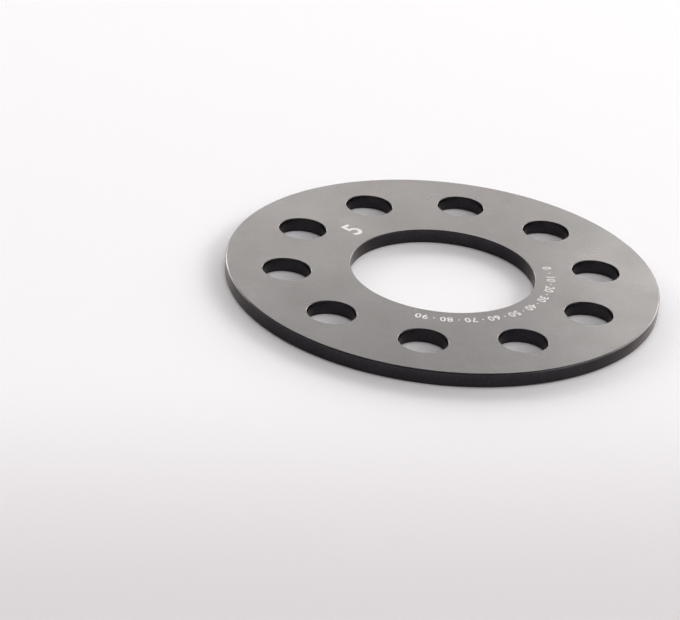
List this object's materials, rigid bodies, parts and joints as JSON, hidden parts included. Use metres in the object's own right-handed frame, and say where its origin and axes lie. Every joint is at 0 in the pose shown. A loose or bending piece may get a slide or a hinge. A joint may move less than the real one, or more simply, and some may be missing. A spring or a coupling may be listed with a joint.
{
  "type": "wheel spacer",
  "caption": "Flat round plate with a hub bore and a ring of bolt holes, clamped between a wheel hub and a wheel to move the wheel outward.",
  "frame": {"origin": "centre of the hub bore on the hub-side face", "axes": "+Z along the bore axis, from the hub-side face to the wheel-side face; +Y through the centre of one bolt hole"},
  "size_m": [0.1484, 0.1484, 0.005],
  "materials": {
    "black_anodised_aluminium": "satin black anodised"
  },
  "bodies": {
    "root": {"spacer_plate": "black_anodised_aluminium"}
  },
  "joints": []
}
